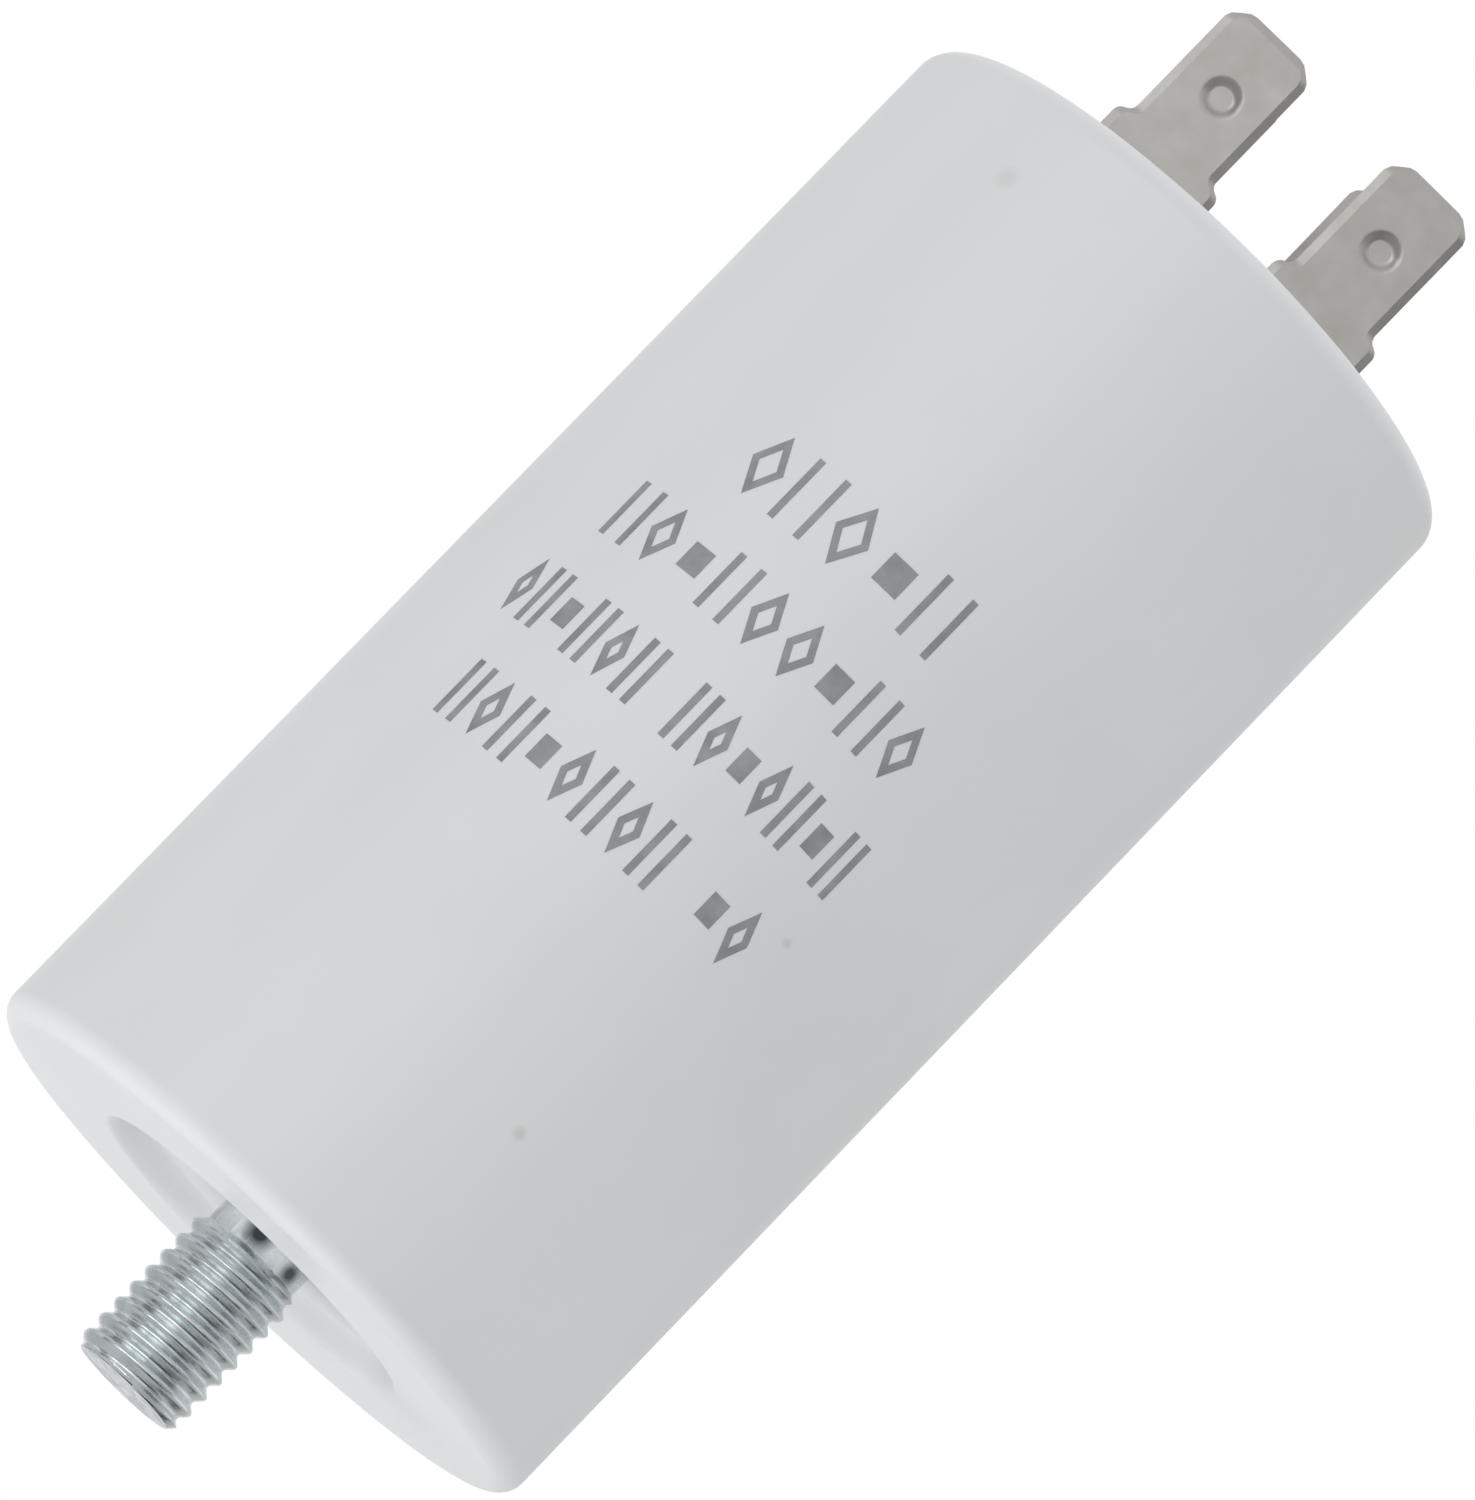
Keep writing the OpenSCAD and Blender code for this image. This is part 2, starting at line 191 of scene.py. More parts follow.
head_corner_r = head_across_flats / 2 / math.cos(math.radians(30))
can_mesh = bmesh.new()
spin_outline(can_mesh, [
    (0, head_high), (head_corner_r, head_high), (head_corner_r, head_low), (neck_r, head_low),
    (neck_r, recess_depth), *recess_wall(), (can_r, 0), (can_r, can_h), (bore_r, can_h),
    (bore_r, lid_low.z), (bore_r, floor_top), (rib_tip_r, floor_top), (boss_r, floor_top),
    (boss_top_r, boss_top), (0, boss_top),
], steps=can_steps)
for vert in can_mesh.verts:
    if abs(radius(vert) - head_corner_r) < tolerance:
        set_radius(vert, hexagon_radius(vert))

# ribs: the bore's faces between floor and lid are drawn in towards the roll
flat_sag = bore_r * (1 - math.cos(math.pi / can_steps))
rib_faces = []
for face in can_mesh.faces:
    centre = face.calc_center_median()
    on_bore = abs(centre.to_2d().length - bore_r) < flat_sag + tolerance
    if on_bore and floor_top < centre.z < lid_low.z and in_rib(centre):
        rib_faces.append(face)
drawn = bmesh.ops.extrude_face_region(can_mesh, geom=whole(rib_faces))["geom"]
for vert in of_kind(bmesh.types.BMVert, drawn):
    set_radius(vert, rib_tip_r)
bmesh.ops.remove_doubles(can_mesh, verts=can_mesh.verts, dist=tolerance)
under_ribs = []
for face in can_mesh.faces:
    centre = face.calc_center_median()
    on_floor = abs(centre.z - floor_top) < tolerance and centre.to_2d().length > rib_tip_r
    if on_floor and in_rib(centre):
        under_ribs.append(face)
bmesh.ops.delete(can_mesh, geom=under_ribs, context="FACES")

round_ring(can_mesh, can_r, 0, base_round, segments=8)
round_ring(can_mesh, can_r, can_h, rim_round, segments=8)
round_ring(can_mesh, bore_r, can_h, bore_round, segments=2)
can = piece_from(can_mesh, "can")


def new_finish(name, colour, roughness, metallic=0.0):
    """A finish with its plain colour and gloss set, and nothing patterned yet."""
    finish = bpy.data.materials.new(name)
    finish.use_nodes = True
    shader = finish.node_tree.nodes["Principled BSDF"]
    shader.inputs["Base Color"].default_value = (*colour, 1)
    shader.inputs["Roughness"].default_value = roughness
    shader.inputs["Metallic"].default_value = metallic
    return finish


def pattern(finish, size, stretch=(1, 1, 1)):
    """A cloudy pattern, 0 to 1, whose patches are about `size` metres across."""
    tree = finish.node_tree
    place = tree.nodes.new("ShaderNodeTexCoord")
    mapping = tree.nodes.new("ShaderNodeMapping")
    mapping.inputs["Scale"].default_value = stretch
    cloud = tree.nodes.new("ShaderNodeTexNoise")
    cloud.inputs["Scale"].default_value = 1 / size
    cloud.inputs["Detail"].default_value = 3
    tree.links.new(place.outputs["Object"], mapping.inputs["Vector"])
    tree.links.new(mapping.outputs["Vector"], cloud.inputs["Vector"])
    return cloud.outputs["Fac"]


def ramp(finish, value, low, high, from_low=0.3, from_high=0.7):
    """Spreads a value over the numbers or colours from low to high.

    A cloudy pattern lies mostly between 0.3 and 0.7, so those are where low and high are reached.
    """
    tree = finish.node_tree
    spread = tree.nodes.new("ShaderNodeMapRange")
    spread.inputs["From Min"].default_value = from_low
    spread.inputs["From Max"].default_value = from_high
    tree.links.new(value, spread.inputs["Value"])
    if not isinstance(low, tuple):
        spread.inputs["To Min"].default_value = low
        spread.inputs["To Max"].default_value = high
        return spread.outputs["Result"]
    mix = tree.nodes.new("ShaderNodeMix")
    mix.data_type = "RGBA"
    mix.inputs["A"].default_value = (*low, 1)
    mix.inputs["B"].default_value = (*high, 1)
    tree.links.new(spread.outputs["Result"], mix.inputs["Factor"])
    return mix.outputs["Result"]


def drive(finish, socket, value):
    tree = finish.node_tree
    tree.links.new(value, tree.nodes["Principled BSDF"].inputs[socket])


def vary(finish, socket, size, low, high, stretch=(1, 1, 1)):
    """Lets a colour or a roughness wander from low to high, in patches of `size` metres."""
    drive(finish, socket, ramp(finish, pattern(finish, size, stretch), low, high))


def grain(finish, size, height, strength, stretch=(1, 1, 1)):
    """Raises and lowers the surface by up to `height` metres, in patches of `size` metres."""
    tree = finish.node_tree
    bump = tree.nodes.new("ShaderNodeBump")
    bump.inputs["Strength"].default_value = strength
    bump.inputs["Distance"].default_value = height
    tree.links.new(pattern(finish, size, stretch), bump.inputs["Height"])
    drive(finish, "Normal", bump.outputs["Normal"])


speck_core = 0.3  # the share of a spot's radius with its full colour, for real specks and painted reflections alike


def speck_or_painted_reflection(finish, colour, place, size, speck_or_reflection_colour):
    """Mixes one small round spot, at a place on the surface, into a colour; it makes real specks
    and painted reflections alike.
    """
    tree = finish.node_tree
    where = tree.nodes.new("ShaderNodeTexCoord")
    gap = tree.nodes.new("ShaderNodeVectorMath")
    gap.operation = "DISTANCE"
    gap.inputs[1].default_value = place
    tree.links.new(where.outputs["Object"], gap.inputs[0])
    edge = ramp(finish, gap.outputs["Value"], 1.0, 0.0, size * speck_core, size)
    mix = tree.nodes.new("ShaderNodeMix")
    mix.data_type = "RGBA"
    mix.inputs["B"].default_value = (*speck_or_reflection_colour, 1)
    tree.links.new(colour, mix.inputs["A"])
    tree.links.new(edge, mix.inputs["Factor"])
    return mix.outputs["Result"]


def on_can(azimuth, height):
    """A point on the can's side; azimuth is in degrees from the front, towards +X."""
    turn = math.radians(azimuth)
    return (can_r * math.sin(turn), -can_r * math.cos(turn), height)


can_plastic = new_finish("can_plastic", (0.70, 0.715, 0.725), 0.42)
can_colour = ramp(
    can_plastic, pattern(can_plastic, 0.018), (0.695, 0.706, 0.712), (0.714, 0.736, 0.748),
)
for azimuth, height, size, shade in (
    # specks of grey in the plastic
    (-35.8, 0.0718, 0.0009, 0.655),
    (17.4, 0.0130, 0.00055, 0.61),
    (27.9, 0.0314, 0.0004, 0.60),
):
    can_colour = speck_or_painted_reflection(
        can_plastic, can_colour, on_can(azimuth, height), size, (shade, shade, shade),
    )
drive(can_plastic, "Base Color", can_colour)
vary(can_plastic, "Roughness", 0.006, 0.38, 0.46)
grain(can_plastic, 0.0004, 0.000008, 0.6)
can.data.materials.append(can_plastic)
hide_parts("case")
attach(can, "root")


# ---- Marking ----------------------------------------------------------------------------
# Four rows of plain grey marks, pad-printed on the front of the can where the rating goes.
# They are pairs of bars, blocks and lozenges only, in a thin film of ink.

ink_thickness = 0.00002
ink_sunk = ink_thickness / 4
ink_stroke = 0.00045
mark_width = 0.74  # of the pitch of its row
block_width = 0.75  # of a mark's width
block_height = 0.45  # of a mark's height
cut_spacing = 0.0005
cuts_each_way = 40
mark_rows = (
    # middle of the row round the can, its height, marks' height and pitch, and the marks
    (-0.0039, 0.0502, 0.0044, 0.0033, "-=-#="),
    (-0.0042, 0.0434, 0.0040, 0.0027, "=-#=--#=-"),
    (-0.0043, 0.0365, 0.0040, 0.0020, "-=#=-= =-#-=#="),
    (-0.0037, 0.0295, 0.0040, 0.0022, "=-=#-=-= #-"),
)


def bar(bm, x, z, width, height):
    """A flat upright rectangle, centred at x, z."""
    made = bmesh.ops.create_grid(bm, x_segments=1, y_segments=1, size=0.5)["verts"]
    for vert in made:
        vert.co = (x + vert.co.x * width, 0, z + vert.co.y * height)


def lozenge_ring(bm, x, z, width, height):
    """A lozenge drawn in outline."""
    made = bmesh.ops.create_circle(bm, cap_ends=True, segments=4, radius=0.5)["verts"]
    for vert in made:
        vert.co = (x + vert.co.x * width, 0, z + vert.co.y * height)
    middle = made[0].link_faces[0]
    middle.normal_update()
    bmesh.ops.inset_region(
        bm, faces=[middle], thickness=ink_stroke, use_boundary=True, use_even_offset=True,
    )
    bmesh.ops.delete(bm, geom=[middle], context="FACES")


def mark(bm, kind, x, z, width, height):
    """One mark: a lozenge (-), a pair of upright bars (=) or a block (#)."""
    if kind == "-":
        lozenge_ring(bm, x, z, width, height)
    elif kind == "=":
        for side in (-0.5, 0.5):
            bar(bm, x + side * (width - ink_stroke), z, ink_stroke, height)
    elif kind == "#":
        bar(bm, x, z, width * block_width, height * block_height)


marking_mesh = bmesh.new()
for middle, height, mark_h, pitch, marks in mark_rows:
    first = middle - pitch * (len(marks) - 1) / 2
    for place, kind in enumerate(marks):
        mark(marking_mesh, kind, first + pitch * place, height, pitch * mark_width, mark_h)

# upright cuts let the flat marks bend round the can
for cut in range(-cuts_each_way, cuts_each_way):
    bmesh.ops.bisect_plane(
        marking_mesh, geom=marking_mesh.verts[:] + marking_mesh.edges[:] + marking_mesh.faces[:],
        plane_co=(cut * cut_spacing, 0, 0), plane_no=(1, 0, 0),
    )
bmesh.ops.recalc_face_normals(marking_mesh, faces=marking_mesh.faces)
ink_top = bmesh.ops.extrude_face_region(
    marking_mesh, geom=whole(marking_mesh.faces), use_keep_orig=True,
)["geom"]
for vert in of_kind(bmesh.types.BMVert, ink_top):
    vert.co.y = -ink_thickness
for vert in marking_mesh.verts:
    turn = vert.co.x / can_r
    out = can_r - ink_sunk - vert.co.y
    vert.co = (out * math.sin(turn), -out * math.cos(turn), vert.co.z)
marking = piece_from(marking_mesh, "marking")
marking_ink = new_finish("marking_ink", (0.25, 0.26, 0.27), 0.5)
vary(marking_ink, "Base Color", 0.0015, (0.22, 0.23, 0.24), (0.31, 0.32, 0.33))
marking.data.materials.append(marking_ink)
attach(marking, "root")


# ---- Stud -------------------------------------------------------------------------------
# Cold-headed steel with a rolled M8 thread, bright zinc plated. The can's base is moulded
# round its hexagon head, and a plain neck shows in the recess.

stud_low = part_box("stud")[0]
thread_r = 0.00385
thread_pitch = 0.00125
thread_depth = 0.00046
thread_segments = 12
thread_steps = 72
thread_top = -0.0001
thread_below = 1.5 * thread_pitch - 0.0002  # starts this far below the tip, and is cut there
spare_turns = 2  # turns beyond the stud's length, which are cut off
thread_fade = 1.2  # how steeply the thread widens from the neck
tip_chamfer = 0.0005


def thread_outline():
    """Radius and height along one pitch of a rolled thread, with round crests and roots."""
    outline = []
    for step in range(thread_segments + 1):
        along = step / thread_segments
        above_root = 0.5 - 0.5 * math.cos(2 * math.pi * along)
        outline.append((thread_r - thread_depth * (1 - above_root), thread_pitch * along))
    return outline


stud_mesh = bmesh.new()
thread_turns = math.ceil(-stud_low.z / thread_pitch) + spare_turns
start_z = stud_low.z - thread_below
points = [stud_mesh.verts.new((r, 0, start_z + z)) for r, z in thread_outline()]
chain = [stud_mesh.edges.new(pair) for pair in zip(points, points[1:])]
bmesh.ops.spin(
    stud_mesh, geom=points + chain, cent=(0, 0, 0), axis=(0, 0, 1),
    dvec=(0, 0, thread_pitch / thread_steps), angle=2 * math.pi * thread_turns,
    steps=thread_steps * thread_turns,
)
bmesh.ops.remove_doubles(stud_mesh, verts=stud_mesh.verts, dist=tolerance)


def cut_level(bm, z, keep_above):
    """Cuts the thread off level at height z and returns the edges of the cut."""
    cut = bmesh.ops.bisect_plane(
        bm, geom=bm.verts[:] + bm.edges[:] + bm.faces[:], plane_co=(0, 0, z), plane_no=(0, 0, 1),
        clear_inner=keep_above, clear_outer=not keep_above,
    )["geom_cut"]
    return of_kind(bmesh.types.BMEdge, cut)


tip_rim = cut_level(stud_mesh, stud_low.z, keep_above=True)
neck_rim = cut_level(stud_mesh, thread_top, keep_above=False)
tip_r = thread_r - tip_chamfer
for vert in stud_mesh.verts:
    chamfer = tip_r + vert.co.z - stud_low.z
    fade = neck_r + (thread_top - vert.co.z) * thread_fade
    limit = min(chamfer, fade)
    if radius(vert) > limit:
        set_radius(vert, limit)
for edge in neck_rim:
    for vert in edge.verts:
        set_radius(vert, neck_r)
bmesh.ops.contextual_create(stud_mesh, geom=tip_rim)


def extend_rim(bm, rim, z=None, new_radius=None):
    """Draws a new ring of faces from a rim, to a height or to a radius given for each vertex."""
    made = bmesh.ops.extrude_edge_only(bm, edges=rim)["geom"]
    for vert in of_kind(bmesh.types.BMVert, made):
        if z is not None:
            vert.co.z = z
        if new_radius is not None:
            set_radius(vert, new_radius(vert))
    return of_kind(bmesh.types.BMEdge, made)


rim = extend_rim(stud_mesh, neck_rim, z=head_low)
rim = extend_rim(stud_mesh, rim, new_radius=hexagon_radius)
rim = extend_rim(stud_mesh, rim, z=head_high)
bmesh.ops.contextual_create(stud_mesh, geom=rim)
stud = piece_from(stud_mesh, "threaded_stud", crease=math.radians(50))

zinc_steel = new_finish("zinc_steel", (0.60, 0.64, 0.66), 0.24, metallic=1.0)
zinc_colour = ramp(
    zinc_steel, pattern(zinc_steel, 0.0012), (0.515, 0.56, 0.57), (0.67, 0.715, 0.735),
)
for place, size, shade in (
    # painted reflections on the neck: two bright patches are painted highlights and two dark ones
    # painted shade, where the neck mirrors the recess
    ((-0.0021, -0.0025, 0.0005), 0.0016, (0.86, 0.89, 0.90)),
    ((0.0008, -0.0031, 0.0009), 0.0016, (0.86, 0.89, 0.90)),
    ((-0.0005, -0.0032, 0.0009), 0.0012, (0.06, 0.07, 0.08)),
    ((0.0023, -0.0023, 0.0005), 0.0009, (0.10, 0.11, 0.12)),
):
    zinc_colour = speck_or_painted_reflection(zinc_steel, zinc_colour, place, size, shade)
drive(zinc_steel, "Base Color", zinc_colour)
vary(zinc_steel, "Roughness", 0.0006, 0.16, 0.34)
grain(zinc_steel, 0.0005, 0.00003, 0.5)
stud.data.materials.append(zinc_steel)
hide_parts("stud")
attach(stud, "root")


# ---- Terminals --------------------------------------------------------------------------
# Each is a strip of tinned brass sheet, stamped, coined and folded up at both ends into two
# push-on blades with a detent dimple. The right one has turned a little on its rivet.

sheet_t = 0.0008
foot_half = 0.004
blade_half = 0.00315
bend_y = 0.0034
bend_in_r = 0.0006
splay = math.radians(4)
right_turn = math.radians(2.3)
tip_above_rim = 0.01325
shoulder_above_rim = 0.0036
shoulder_r = 0.00065
dimple_above_rim = 0.00845
shoulder_arc_steps = 5
tip_cut_w = 0.00115
tip_cut_h = 0.0009
tip_ease = 0.0003
coin_w = 0.0005
coin_t = 0.00022
coin_from = 0.0012
soft_edge = 0.00006
rivet_hole_r = 0.0016
foot_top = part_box("terminal_left")[0].z + sheet_t
bend_z = foot_top + bend_in_r
bend_steps = 10
dimple_r = 0.0013
dimple_depth = 0.00034
bump_r = 0.0009
bump_depth = 0.0002
dish_floor = 0.5  # the floor's share of a dish's radius
dish_margin = 0.00012
dish_rings = 9
hole_steps = 32


def up_blade(above_rim):
    """Distance up the leaning blade from its bend."""
    return (can_h + above_rim - bend_z) / math.cos(splay)


def cross_section(verts, half, edge_w, edge_t, tip_t=0.0):
    """Sets the sheet's outline across the blade: half width, and the bevels of its edges."""
    outermost = max(abs(v.co.x) for v in verts)
    for vert in verts:
        at_edge = abs(vert.co.x) > outermost - tolerance
        across = half if at_edge else half - edge_w
        through = sheet_t / 2 - (max(edge_t, tip_t) if at_edge else tip_t)
        vert.co.x = math.copysign(across, vert.co.x)
        vert.co.y = math.copysign(through, vert.co.y)


def next_row(bm, face, z, half, edge_w=coin_w, edge_t=coin_t, tip_t=0.0):
    """Draws the blade up from its top face to height z, with a new outline there."""
    made = bmesh.ops.extrude_face_region(bm, geom=whole([face]))["geom"]
    top = of_kind(bmesh.types.BMFace, made)[0]
    for vert in top.verts:
        vert.co.z = z
    cross_section(top.verts, half, edge_w, edge_t, tip_t)
    return top


def open_hole(bm, face, centre, r):
    """Opens a round hole in a flat face, and returns the hole's edges."""
    outline = face.edges[:]
    turned = face.normal.to_track_quat("Z", "Y").to_matrix().to_4x4()
    bmesh.ops.delete(bm, geom=[face], context="FACES_ONLY")
    circle = bmesh.ops.create_circle(
        bm, segments=hole_steps, radius=r, matrix=Matrix.Translation(centre) @ turned,
    )["verts"]
    hole = list(dict.fromkeys(edge for vert in circle for edge in vert.link_edges))
    bmesh.ops.triangle_fill(bm, use_beauty=True, edges=outline + hole)
    return hole


def press(bm, hole, centre, into, r, depth):
    """Sinks a round dish in a hole that is a little wider: a flat margin, a wall and a floor."""
    rim = hole
    for ring in range(dish_rings + 1):
        made = bmesh.ops.extrude_edge_only(bm, edges=rim)["geom"]
        rim = of_kind(bmesh.types.BMEdge, made)
        down = ring / dish_rings
        reach = r * (1 - (1 - dish_floor) * down)
        sunk = depth * down * down * (3 - 2 * down)
        for vert in of_kind(bmesh.types.BMVert, made):
            outwards = vert.co - centre
            outwards -= outwards.dot(into) * into
            vert.co = centre + outwards.normalized() * reach + into * sunk
    bmesh.ops.contextual_create(bm, geom=rim)


def upright_blade(bm):
    """One blade, standing on z = 0 with its outer face towards +Y."""
    # an octagon with sides along X and Y is set out as the sheet's bevelled section
    squared = Matrix.Rotation(math.radians(22.5), 4, "Z")
    root = bmesh.ops.create_circle(
        bm, cap_ends=True, segments=8, radius=foot_half, matrix=squared,
    )["verts"]
    cross_section(root, foot_half, soft_edge, soft_edge)
    face = next_row(bm, root[0].link_faces[0], coin_from / 2, foot_half, soft_edge, soft_edge)
    face = next_row(bm, face, coin_from, foot_half)

    # each shoulder is two arcs that meet smoothly half way
    low = up_blade(shoulder_above_rim)
    inset = foot_half - blade_half
    rise = math.sqrt(4 * shoulder_r * inset - inset ** 2)
    sweep = math.asin(rise / 2 / shoulder_r)
    face = next_row(bm, face, low, foot_half)
    for step in range(1, shoulder_arc_steps + 1):
        turn = sweep * step / shoulder_arc_steps
        height = low + shoulder_r * math.sin(turn)
        face = next_row(bm, face, height, foot_half - shoulder_r * (1 - math.cos(turn)))
    for step in range(shoulder_arc_steps - 1, -1, -1):
        turn = sweep * step / shoulder_arc_steps
        height = low + rise - shoulder_r * math.sin(turn)
        face = next_row(bm, face, height, blade_half + shoulder_r * (1 - math.cos(turn)))

    # the tip corners are cut and a little rounded, and the tip is coined like the edges
    tip = up_blade(tip_above_rim)
    for below_tip, cut_away, coined in (
        (tip_cut_h + tip_ease, 0, 0),
        (0.9 * tip_cut_h, 0.14 * tip_cut_w, 0),
        (coin_w, tip_cut_w * (1 - coin_w / tip_cut_h), 0),
        (0.2 * coin_w, 0.9 * tip_cut_w, 0.8 * coin_t),
        (0, tip_cut_w + tip_ease, coin_t),
    ):
        face = next_row(bm, face, tip - below_tip, blade_half - cut_away, tip_t=coined)


def bent_blade(bm):
    """A blade with its dimple and the quarter bend at its root. Returns the bend's open edges."""
    upright_blade(bm)
    bm.normal_update()
    middle = Vector((0, sheet_t / 2, up_blade(dimple_above_rim)))
    flats = sorted(bm.faces, key=lambda f: f.calc_area())[-2:]
    inner, outer = sorted(flats, key=lambda f: f.calc_center_median().y)
    inwards = Vector((0, -1, 0))
    dent = open_hole(bm, outer, middle, dimple_r + dish_margin)
    press(bm, dent, middle, inwards, dimple_r, dimple_depth)
    behind = middle + inwards * sheet_t
    bump = open_hole(bm, inner, behind, bump_r + dish_margin)
    press(bm, bump, behind, inwards, bump_r, bump_depth)

    root = min(bm.faces, key=lambda f: f.calc_center_median().z)
    place = (
        Matrix.Translation((0, bend_y, bend_z)) @ Matrix.Rotation(-splay, 4, "X")
        @ Matrix.Translation((0, bend_in_r + sheet_t / 2, 0))
    )
    bmesh.ops.transform(bm, matrix=place, verts=bm.verts)
    last = bmesh.ops.spin(
        bm, geom=[root] + root.edges[:] + root.verts[:], cent=(0, bend_y, bend_z), axis=(1, 0, 0),
        angle=splay - math.pi / 2, steps=bend_steps,
    )["geom_last"]
    end = of_kind(bmesh.types.BMFace, last)[0]
    open_edges = end.edges[:]
    bmesh.ops.delete(bm, geom=[end], context="FACES_ONLY")
    return open_edges


def folded_terminal(name, x, turn):
    """A whole terminal: two blades, back to back, and the riveted foot that joins them."""
    bm = bmesh.new()
    near = bent_blade(bm)
    copied = bmesh.ops.duplicate(bm, geom=bm.verts[:] + bm.edges[:] + bm.faces[:])
    far = [copied["edge_map"][edge] for edge in near]
    twin = of_kind(bmesh.types.BMVert, copied["geom"])
    bmesh.ops.rotate(bm, verts=twin, cent=(0, 0, 0), matrix=Matrix.Rotation(math.pi, 3, "Z"))
    foot = bmesh.ops.bridge_loops(bm, edges=near + far)["faces"]
    bmesh.ops.recalc_face_normals(bm, faces=bm.faces)
    plates = sorted(foot, key=lambda f: f.calc_area())[-2:]
    holes = []
    for plate in plates:
        centre = Vector((0, 0, plate.calc_center_median().z))
        holes += open_hole(bm, plate, centre, rivet_hole_r)
    bmesh.ops.bridge_loops(bm, edges=holes)
    bmesh.ops.transform(
        bm, verts=bm.verts, matrix=Matrix.Translation((x, 0, 0)) @ Matrix.Rotation(turn, 4, "Z"),
    )
    return piece_from(bm, name, crease=math.radians(22))


tinned_sheet = new_finish("tinned_sheet", (0.39, 0.386, 0.374), 0.4, metallic=1.0)
vary(tinned_sheet, "Base Color", 0.0022, (0.372, 0.355, 0.337), (0.402, 0.40, 0.387))
vary(tinned_sheet, "Roughness", 0.0008, 0.36, 0.44)
grain(tinned_sheet, 0.0003, 0.000004, 0.5, stretch=(1, 1, 0.3))
for side, turn in (("left", 0), ("right", right_turn)):
    rivet_low, rivet_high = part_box("rivet_" + side)
    terminal = folded_terminal("blade_terminal_" + side, (rivet_low.x + rivet_high.x) / 2, turn)
    terminal.data.materials.append(tinned_sheet)
    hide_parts("terminal_" + side)
    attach(terminal, "root")


# ---- Lid, rivets and tags ---------------------------------------------------------------
# A moulded disc closes the can. Tinned rivets clamp the terminals on it and, underneath,
# the solder tags that the leads run to.


def dress(node, finish):
    """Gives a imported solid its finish."""
    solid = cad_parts[node]
    solid.data.materials.clear()
    solid.data.materials.append(finish)


lid_plastic = new_finish("lid_plastic", (0.70, 0.70, 0.69), 0.5)
vary(lid_plastic, "Base Color", 0.009, (0.69, 0.69, 0.68), (0.73, 0.73, 0.72))
vary(lid_plastic, "Roughness", 0.004, 0.45, 0.55)
grain(lid_plastic, 0.0004, 0.00001, 0.6)
dress("lid", lid_plastic)

rivet_metal = new_finish("rivet_metal", (0.55, 0.54, 0.51), 0.3, metallic=1.0)
vary(rivet_metal, "Base Color", 0.001, (0.48, 0.46, 0.43), (0.60, 0.59, 0.57))
vary(rivet_metal, "Roughness", 0.0005, 0.25, 0.42)
grain(rivet_metal, 0.0004, 0.00002, 0.4)
tag_metal = new_finish("tag_metal", (0.55, 0.54, 0.50), 0.35, metallic=1.0)
vary(tag_metal, "Base Color", 0.0015, (0.50, 0.48, 0.44), (0.58, 0.57, 0.54))
vary(tag_metal, "Roughness", 0.0008, 0.3, 0.45)
for side in ("left", "right"):
    dress("rivet_" + side, rivet_metal)
    dress("solder_tag_" + side, tag_metal)


# ---- Leads and solder -------------------------------------------------------------------
# Tinned copper wire runs from the roll's two ends to the tags. The long one climbs the side
# of the roll in a woven sleeve. Dull soft solder joins the wires to roll and tags.

lead_wire = new_finish("lead_wire", (0.60, 0.58, 0.54), 0.3, metallic=1.0)
vary(lead_wire, "Base Color", 0.0008, (0.55, 0.50, 0.44), (0.64, 0.63, 0.60))
solder = new_finish("solder", (0.50, 0.51, 0.53), 0.4, metallic=1.0)
vary(solder, "Roughness", 0.0005, 0.3, 0.55)
vary(solder, "Base Color", 0.0009, (0.42, 0.43, 0.45), (0.56, 0.57, 0.59))
grain(solder, 0.0004, 0.00003, 0.6)
sleeve_plastic = new_finish("sleeve_plastic", (0.45, 0.08, 0.06), 0.6)
vary(sleeve_plastic, "Base Color", 0.0003, (0.36, 0.05, 0.04), (0.52, 0.11, 0.08))
grain(sleeve_plastic, 0.0002, 0.00005, 0.7, stretch=(1, 1, 2))
for node in ("lead_long", "lead_short"):
    dress(node, lead_wire)
for node in ("solder_joint_bottom", "solder_joint_top", "tag_solder_left", "tag_solder_right"):
    dress(node, solder)
dress("lead_sleeve", sleeve_plastic)


# ---- Film roll --------------------------------------------------------------------------
# Metallised film wound on a plastic tube, with zinc sprayed on its ends and a clear yellow
# wrap round it. It stands on a disc of insulating board.

film = new_finish("film", (0.60, 0.61, 0.63), 0.25, metallic=1.0)
vary(film, "Base Color", 0.0004, (0.52, 0.53, 0.55), (0.66, 0.67, 0.69), stretch=(0.02, 0.02, 1))
wrap_film = new_finish("wrap_film", (0.75, 0.62, 0.30), 0.25)
vary(wrap_film, "Base Color", 0.006, (0.70, 0.56, 0.26), (0.80, 0.68, 0.36))
zinc_spray = new_finish("zinc_spray", (0.35, 0.36, 0.38), 0.8, metallic=0.6)
vary(zinc_spray, "Base Color", 0.0005, (0.28, 0.29, 0.31), (0.42, 0.43, 0.45))
grain(zinc_spray, 0.0003, 0.0001, 0.9)
mandrel_plastic = new_finish("mandrel_plastic", (0.16, 0.22, 0.30), 0.45)
vary(mandrel_plastic, "Base Color", 0.004, (0.14, 0.20, 0.28), (0.18, 0.24, 0.32))
disc_board = new_finish("disc_board", (0.33, 0.35, 0.32), 0.7)
vary(disc_board, "Base Color", 0.001, (0.29, 0.31, 0.28), (0.37, 0.39, 0.36))
grain(disc_board, 0.0003, 0.00003, 0.6)
dress("film_winding", film)
dress("roll_wrap", wrap_film)
dress("end_spray_bottom", zinc_spray)
dress("end_spray_top", zinc_spray)
dress("winding_mandrel", mandrel_plastic)
dress("base_disc", disc_board)


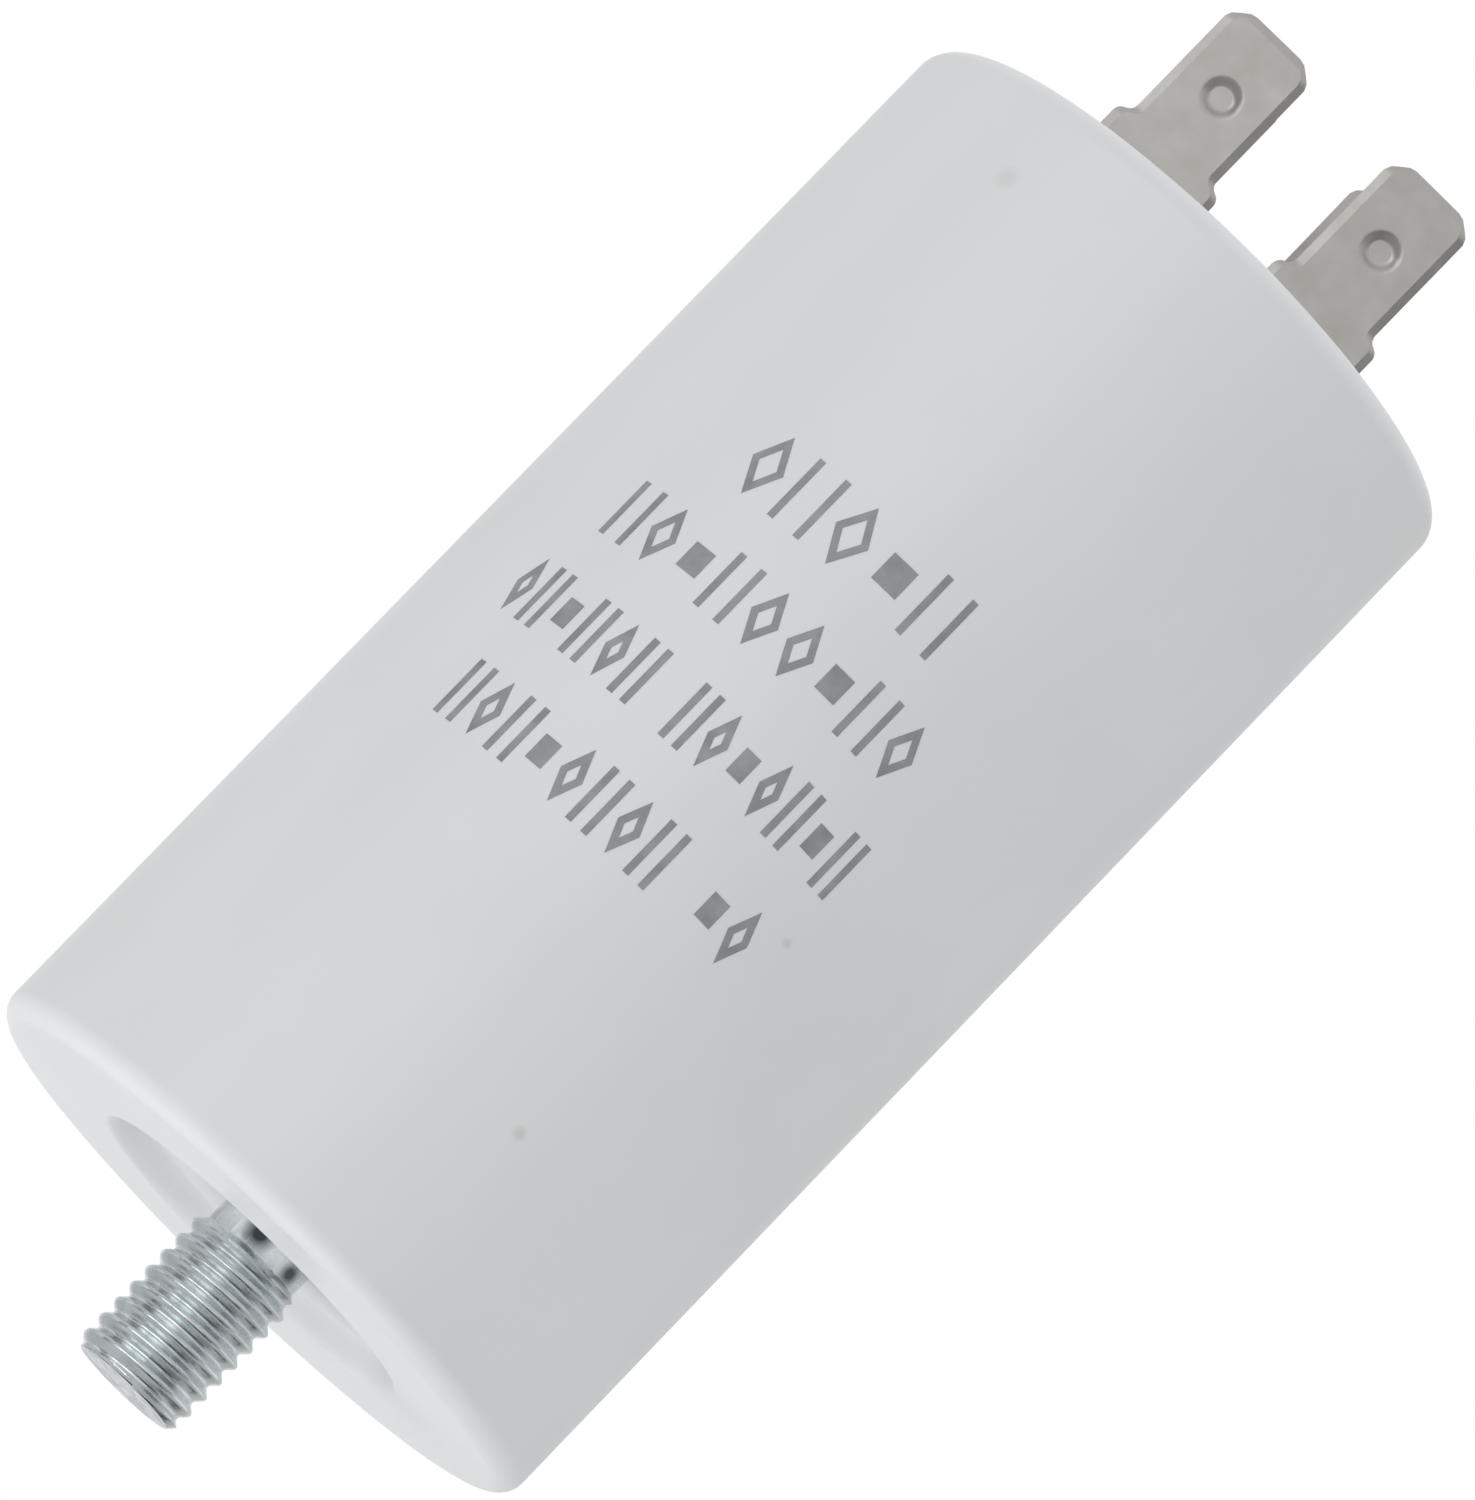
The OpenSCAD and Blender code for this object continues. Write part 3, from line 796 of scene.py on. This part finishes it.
# ---- Potting ----------------------------------------------------------------------------
# Dark resin, poured in round the roll and left to set below the lid. It holds roll, leads
# and sleeve still in the can and keeps damp out.

resin = new_finish("resin", (0.05, 0.05, 0.045), 0.2)
vary(resin, "Base Color", 0.008, (0.04, 0.04, 0.035), (0.07, 0.07, 0.06))
vary(resin, "Roughness", 0.003, 0.15, 0.3)
dress("potting_resin", resin)


# ---- Stage ------------------------------------------------------------------------------
# A plain pale floor well below the part, and a white surround. Four soft lamps light the part
# and stay out of its gloss; two more lamps and the grey cards show in polished surfaces only.

floor_level = -0.5
floor_reach = 3
surround_light = 0.745  # the surround's strength where it lights the part
surround_seen = 1.0  # and where it is seen, straight on or in a polished surface

floor_mesh = bmesh.new()
bmesh.ops.create_grid(floor_mesh, x_segments=1, y_segments=1, size=floor_reach)
bmesh.ops.translate(floor_mesh, verts=floor_mesh.verts, vec=(0, 0, floor_level))
floor = piece_from(floor_mesh, "floor")
floor.data.materials.append(new_finish("floor_paint", (0.8, 0.8, 0.8), 0.7))

world = bpy.data.worlds.new("surround")
bpy.context.scene.world = world
world.use_nodes = True
surround = world.node_tree
background = surround.nodes["Background"]
background.inputs["Color"].default_value = (1, 1, 1, 1)
ray = surround.nodes.new("ShaderNodeLightPath")
seen = ray.outputs["Is Camera Ray"]
for way_seen in ("Is Glossy Ray", "Is Transmission Ray"):
    either = surround.nodes.new("ShaderNodeMath")
    either.operation = "MAXIMUM"
    surround.links.new(seen, either.inputs[0])
    surround.links.new(ray.outputs[way_seen], either.inputs[1])
    seen = either.outputs["Value"]
level = surround.nodes.new("ShaderNodeMapRange")
level.inputs["To Min"].default_value = surround_light
level.inputs["To Max"].default_value = surround_seen
surround.links.new(seen, level.inputs["Value"])
surround.links.new(level.outputs["Result"], background.inputs["Strength"])


def around(azimuth, elevation, distance):
    """A point round the middle of the can; azimuth is in degrees from the front, towards +X."""
    turn = math.radians(azimuth)
    climb = math.radians(elevation)
    out = distance * math.cos(climb)
    up = distance * math.sin(climb)
    return camera_aim + Vector((out * math.sin(turn), -out * math.cos(turn), up))


def facing_can(stage_object, place):
    """Puts a lamp or a card at a place, turned towards the middle of the can."""
    stage_object.location = place
    stage_object.rotation_euler = (camera_aim - place).to_track_quat("-Z", "Y").to_euler()


def soft_lamp(name, place, size, watts):
    lamp = bpy.data.objects.new(name, bpy.data.lights.new(name, "AREA"))
    lamp.data.shape = "DISK"
    lamp.data.size = size
    lamp.data.energy = watts
    facing_can(lamp, place)
    bpy.context.scene.collection.objects.link(lamp)
    return lamp


def shade_card(name, place, width, height, shade):
    """A grey card that shows in polished surfaces only, as the darker parts of a room do."""
    card_mesh = bmesh.new()
    bmesh.ops.create_grid(card_mesh, x_segments=1, y_segments=1, size=0.5)
    bmesh.ops.scale(card_mesh, verts=card_mesh.verts, vec=(width, height, 1))
    card = piece_from(card_mesh, name)
    facing_can(card, place)
    card.data.materials.append(new_finish(name + "_paint", (shade, shade, shade), 0.9))
    card.visible_camera = False
    card.visible_diffuse = False
    card.visible_transmission = False
    card.visible_shadow = False


side_lamp = soft_lamp("side_lamp", around(-28, -5, 0.75), 0.5, 0.225)
top_lamp = soft_lamp("top_lamp", around(-25, 70, 0.25), 0.12, 0.08)
low_lamp = soft_lamp("low_lamp", around(-88, -38, 0.7), 0.3, 0.5)
under_lamp = soft_lamp("under_lamp", around(-27, -75, 0.46), 0.4, 0.9)
for lamp in (side_lamp, top_lamp, low_lamp, under_lamp):
    lamp.visible_glossy = False
sheen_lamp = soft_lamp("sheen_lamp", around(-21, 0, 0.75), 0.4, 0.55)
edge_lamp = soft_lamp("edge_lamp", around(-49, 0, 0.75), 0.25, 0.32)
for lamp in (sheen_lamp, edge_lamp):
    lamp.visible_diffuse = False
shade_card("front_card", around(53, 0, 0.6), 0.5, 0.6, 0.48)
shade_card("low_front_card", around(35, -48, 0.6), 0.6, 0.5, 0.12)
shade_card("low_back_card", around(150, -55, 0.45), 0.35, 0.35, 0.1)
shade_card("right_card", around(148, 10, 0.6), 0.3, 0.5, 0.9)
shade_card("left_front_card", around(-80, 0, 0.6), 0.3, 0.6, 0.4)
shade_card("left_card", around(-132, 10, 0.6), 0.44, 0.4, 0.8)

bpy.context.scene.view_settings.view_transform = "Standard"
